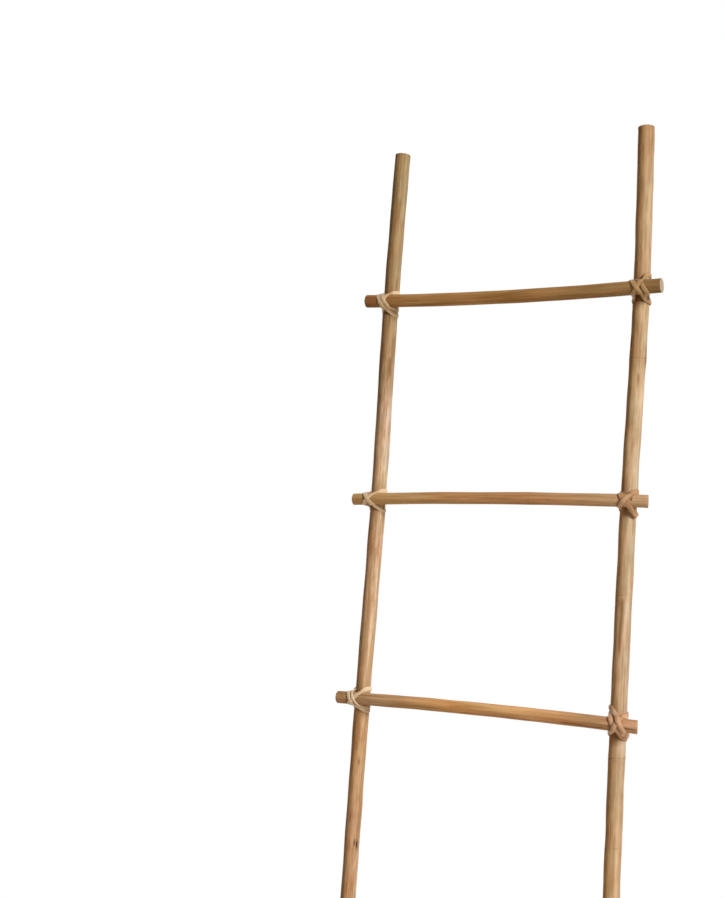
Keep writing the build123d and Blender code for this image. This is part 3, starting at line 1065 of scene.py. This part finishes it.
def addFloor(plan):
    half = plan["size"] / 2
    corners = [(-half, -half, 0), (half, -half, 0), (half, half, 0), (-half, half, 0)]
    mesh = bpy.data.meshes.new("floor")
    mesh.from_pydata(corners, [], [(0, 1, 2, 3)])
    floor = bpy.data.objects.new("floor", mesh)
    bpy.context.scene.collection.objects.link(floor)
    material = bpy.data.materials.new("floor_paper")
    g = Graph(material)
    place = g.node("NewGeometry", {}, {}, "Position")
    away = g.node("VectorMath", {"operation": "LENGTH"}, {0: place}, "Value")
    paper = g.node("BsdfDiffuse", {}, {"Color": written(plan["tone"])})
    plain = g.node("Emission", {}, {"Color": white, "Strength": 1.0})
    clear = away.between(plan["clearFrom"], plan["clearTo"])
    fade = clear.most(plan["glow"]) * seenDirectly(g)
    g.node("OutputMaterial", {}, {"Surface": g.node("MixShader", {}, {0: fade, 1: paper, 2: plain})})
    mesh.materials.append(material)


worldPlan = {
    "strength": 0.09,
    "tone": (1.0, 0.68, 0.33, 1.0),
}


def addWorld(plan):
    world = bpy.data.worlds.new("studio")
    g = Graph(world)
    soft = g.node("Background", {}, {"Color": plan["tone"], "Strength": plan["strength"]})
    plain = g.node("Background", {}, {"Color": white, "Strength": 1.0})
    g.node("OutputWorld", {}, {"Surface": g.node("MixShader", {}, {0: seenDirectly(g), 1: soft, 2: plain})})
    bpy.context.scene.world = world


lamps = {
    "key": {
        "place": (3.64, -1.8, 2.99),
        "aim": (0.0, 0.0, 1.1),
        "size": 1.44,
        "tone": (0.95, 1.0, 1.12),
        "power": 198.0,
        "glints": True,
    },
    "fill": {  # behind the ladder, on the side away from the camera
        "place": (-1.9, 3.3, 1.5),
        "aim": (0.0, 0.0, 0.95),
        "size": 1.8,
        "tone": (1.0, 0.95, 0.88),
        "power": 105.0,
        "glints": False,
    },
    "top": {
        "place": (0.2, -0.4, 5.0),
        "aim": (0.0, 0.0, 1.0),
        "size": 2.5,
        "tone": (1.0, 0.97, 0.92),
        "power": 24.0,
        "glints": False,
    },
}


def addLight(name, plan):
    lamp = bpy.data.lights.new(name, "AREA")
    lamp.shape = "DISK"
    lamp.size = plan["size"]
    lamp.energy = plan["power"]
    lamp.color = plan["tone"]
    light = bpy.data.objects.new(name + "_light", lamp)
    place = Vector(plan["place"])
    light.location = place
    light.rotation_mode = "QUATERNION"
    light.rotation_quaternion = (Vector(plan["aim"]) - place).to_track_quat("-Z", "Y")
    light.visible_camera = False
    light.visible_glossy = plan["glints"]
    bpy.context.scene.collection.objects.link(light)


cameraPlan = {
    "place": (0.8359, -1.9712, 1.3167),
    "azimuth": 28.17,  # degrees to the right of the ladder's front
    "tilt": 90,  # degrees, level
    "focal": 1374.0,  # pixels, in a picture 724 wide and 898 high
    "pictureHeight": 898,
    "film": 36.0,
    "shift": (-0.57, 0.7),  # pixels
}


def addCamera(plan):
    lens = bpy.data.cameras.new("camera")
    lens.sensor_width = plan["film"]
    lens.lens = plan["focal"] * plan["film"] / plan["pictureHeight"]
    lens.shift_x, lens.shift_y = (part / plan["pictureHeight"] for part in plan["shift"])
    camera = bpy.data.objects.new("camera", lens)
    camera.location = plan["place"]
    camera.rotation_euler = (math.radians(plan["tilt"]), 0, math.radians(plan["azimuth"]))
    bpy.context.scene.collection.objects.link(camera)
    bpy.context.scene.camera = camera


addFloor(floorPlan)
addWorld(worldPlan)
for name, plan in lamps.items():
    addLight(name, plan)
addCamera(cameraPlan)
bpy.context.scene.view_settings.view_transform = "Standard"
print("stage set")
